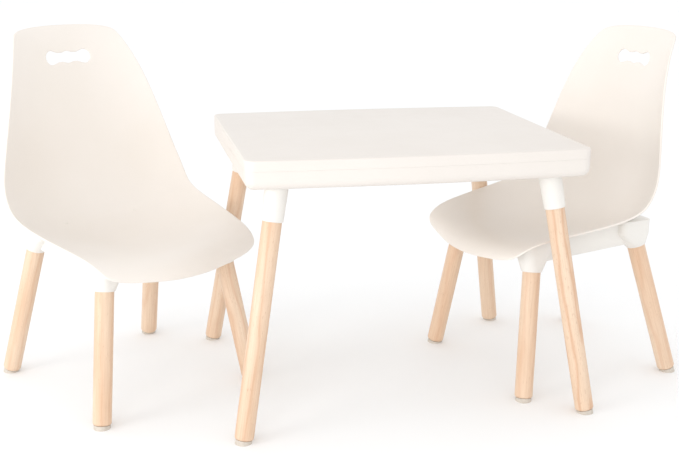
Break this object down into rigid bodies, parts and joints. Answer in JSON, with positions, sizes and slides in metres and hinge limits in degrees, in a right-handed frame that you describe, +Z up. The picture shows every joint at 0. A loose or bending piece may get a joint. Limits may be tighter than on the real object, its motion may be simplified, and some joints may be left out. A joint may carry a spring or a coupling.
{
  "type": "kids table and chairs",
  "caption": "Rectangular toddler table with rounded corners and bucket chairs, moulded ivory plastic on splayed round wooden legs.",
  "frame": {"origin": "floor level, at the centre of the whole set's bounding box", "axes": "+X along the table's long side and the set's longest extent, +Y away from the front of the table, +Z up from the floor"},
  "size_m": [1.2939, 0.5957, 0.658],
  "materials": {
    "ivory_plastic": "satin moulded polypropylene with a fine even texture",
    "white_plastic": "satin moulded polypropylene",
    "beech_wood": "clear matt lacquer over straight and cathedral grain",
    "glide_plastic": "hard grey plastic",
    "zinc_steel": "zinc plated",
    "brass_insert": "turned brass"
  },
  "bodies": {
    "table": {"table_collar_back_left": "white_plastic", "table_collar_back_right": "white_plastic", "table_collar_front_left": "white_plastic", "table_collar_front_right": "white_plastic", "table_cover": "ivory_plastic", "table_cover_screws": "zinc_steel", "table_glide_back_left": "glide_plastic", "table_glide_back_right": "glide_plastic", "table_glide_front_left": "glide_plastic", "table_glide_front_right": "glide_plastic", "table_leg_back_left": "beech_wood", "table_leg_back_right": "beech_wood", "table_leg_bolts": "zinc_steel", "table_leg_front_left": "beech_wood", "table_leg_front_right": "beech_wood", "table_tee_nuts": "zinc_steel", "table_tray": "ivory_plastic"},
    "left_chair": {"left_chair_frame": "white_plastic", "left_chair_glide_back_left": "glide_plastic", "left_chair_glide_back_right": "glide_plastic", "left_chair_glide_front_left": "glide_plastic", "left_chair_glide_front_right": "glide_plastic", "left_chair_leg_back_left": "beech_wood", "left_chair_leg_back_right": "beech_wood", "left_chair_leg_bolts": "zinc_steel", "left_chair_leg_front_left": "beech_wood", "left_chair_leg_front_right": "beech_wood", "left_chair_leg_inserts": "brass_insert", "left_chair_shell": "ivory_plastic", "left_chair_shell_screws": "zinc_steel"},
    "right_chair": {"right_chair_frame": "white_plastic", "right_chair_glide_back_left": "glide_plastic", "right_chair_glide_back_right": "glide_plastic", "right_chair_glide_front_left": "glide_plastic", "right_chair_glide_front_right": "glide_plastic", "right_chair_leg_back_left": "beech_wood", "right_chair_leg_back_right": "beech_wood", "right_chair_leg_bolts": "zinc_steel", "right_chair_leg_front_left": "beech_wood", "right_chair_leg_front_right": "beech_wood", "right_chair_leg_inserts": "brass_insert", "right_chair_shell": "ivory_plastic", "right_chair_shell_screws": "zinc_steel"}
  },
  "joints": [
    {"name": "left_chair_slide", "type": "slide", "parent": "table", "child": "left_chair", "axis": [-0.515, 0.8572, 0], "range_m": [-0.11, 0.35]},
    {"name": "right_chair_slide", "type": "slide", "parent": "table", "child": "right_chair", "axis": [0.9763, 0.2164, 0], "range_m": [-0.01, 0.35]}
  ]
}
